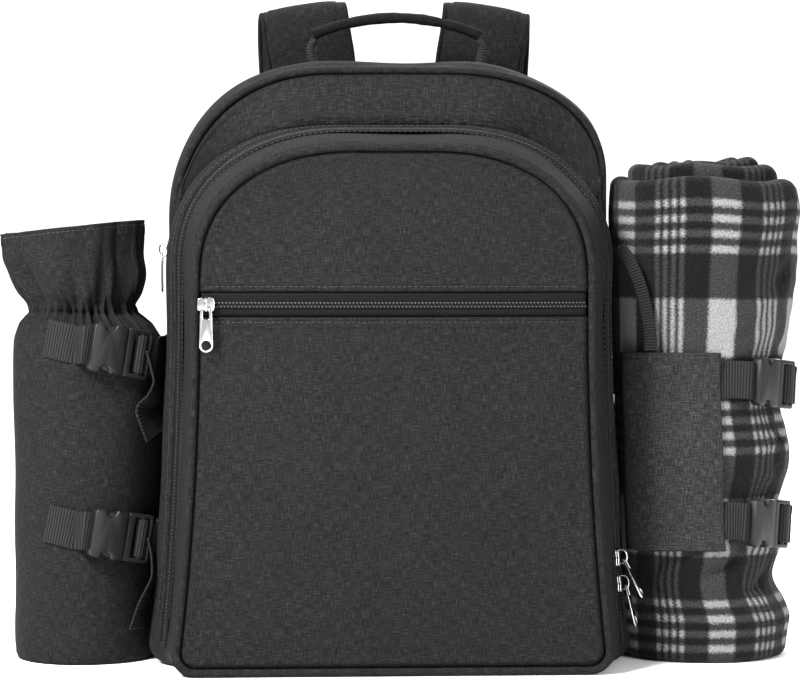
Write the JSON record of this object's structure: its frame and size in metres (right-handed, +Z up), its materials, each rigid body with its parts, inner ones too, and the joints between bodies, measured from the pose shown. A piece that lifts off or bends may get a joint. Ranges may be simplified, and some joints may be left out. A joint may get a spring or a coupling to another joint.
{
  "type": "picnic backpack",
  "caption": "Box-shaped picnic backpack with front pocket, padded straps, a side bottle pouch and a rolled blanket held by a side flap and buckled webbing.",
  "frame": {"origin": "on the ground, at the middle of the rear compartment's width, 5 mm behind its front seam", "axes": "+Z up, the front faces -Y, +X is the right side seen from the front"},
  "size_m": [0.5337, 0.245, 0.4452],
  "materials": {
    "fabric": "heathered charcoal polyester canvas",
    "trim": "dark woven tape and coil zip",
    "webbing": "ribbed dark webbing",
    "fleece": "brushed tartan fleece",
    "plastic": "satin moulded plastic",
    "metal": "bright nickel plate"
  },
  "bodies": {
    "pack": {"back_panel": "fabric", "blanket_back_strap_lower": "webbing", "blanket_back_strap_upper": "webbing", "blanket_buckle_lower_latch": "plastic", "blanket_buckle_lower_socket": "plastic", "blanket_buckle_upper_latch": "plastic", "blanket_buckle_upper_socket": "plastic", "blanket_flap": "fabric", "blanket_roll": "fleece", "blanket_strap_lower": "webbing", "blanket_strap_upper": "webbing", "bottle_pouch": "fabric", "front_a_slider": "metal", "front_b_slider": "metal", "front_gusset": "fabric", "front_panel_lower": "fabric", "front_panel_upper": "fabric", "front_piping": "trim", "front_zip_tape": "trim", "handle_end_left": "webbing", "handle_end_right": "webbing", "handle_grip": "fabric", "main_front_panel": "fabric", "main_gusset": "fabric", "main_piping": "trim", "pocket_slider": "metal", "pocket_zip_tape": "trim", "pouch_buckle_lower_latch": "plastic", "pouch_buckle_lower_socket": "plastic", "pouch_buckle_upper_latch": "plastic", "pouch_buckle_upper_socket": "plastic", "pouch_patch_lower": "webbing", "pouch_patch_upper": "webbing", "pouch_strap_lower": "webbing", "pouch_strap_upper": "webbing", "pouch_tail_lower": "webbing", "pouch_tail_upper": "webbing", "rear_slider": "metal", "rear_zip_tape": "trim", "shoulder_strap_left": "fabric", "shoulder_strap_right": "fabric", "side_loop": "webbing", "strap_adjuster_left": "plastic", "strap_adjuster_right": "plastic", "strap_tab_left": "fabric", "strap_tab_right": "fabric", "strap_webbing_left": "webbing", "strap_webbing_right": "webbing"},
    "pocket_pull_body": {"pocket_pull": "metal"},
    "front_a_pull_body": {"front_a_pull": "metal"},
    "front_b_pull_body": {"front_b_pull": "metal"},
    "rear_pull_body": {"rear_pull": "metal"}
  },
  "joints": [
    {"name": "pocket_pull_swing", "type": "hinge", "parent": "pack", "child": "pocket_pull_body", "pos_m": [-0.11901, -0.09476, 0.23534], "axis": [-1, 0, 0], "range_deg": [0, 165]},
    {"name": "front_a_pull_swing", "type": "hinge", "parent": "pack", "child": "front_a_pull_body", "pos_m": [0.15275, -0.04586, 0.06926], "axis": [-0.2964, -0.9548, -0.0244], "range_deg": [0, 60]},
    {"name": "front_b_pull_swing", "type": "hinge", "parent": "pack", "child": "front_b_pull_body", "pos_m": [0.15415, -0.04587, 0.05226], "axis": [-0.2979, -0.9543, -0.0245], "range_deg": [-5, 25]},
    {"name": "rear_pull_swing", "type": "hinge", "parent": "pack", "child": "rear_pull_body", "pos_m": [-0.15249, 0.05818, 0.26986], "axis": [0.0353, 0.9994, -0.0001], "range_deg": [0, 150]}
  ]
}
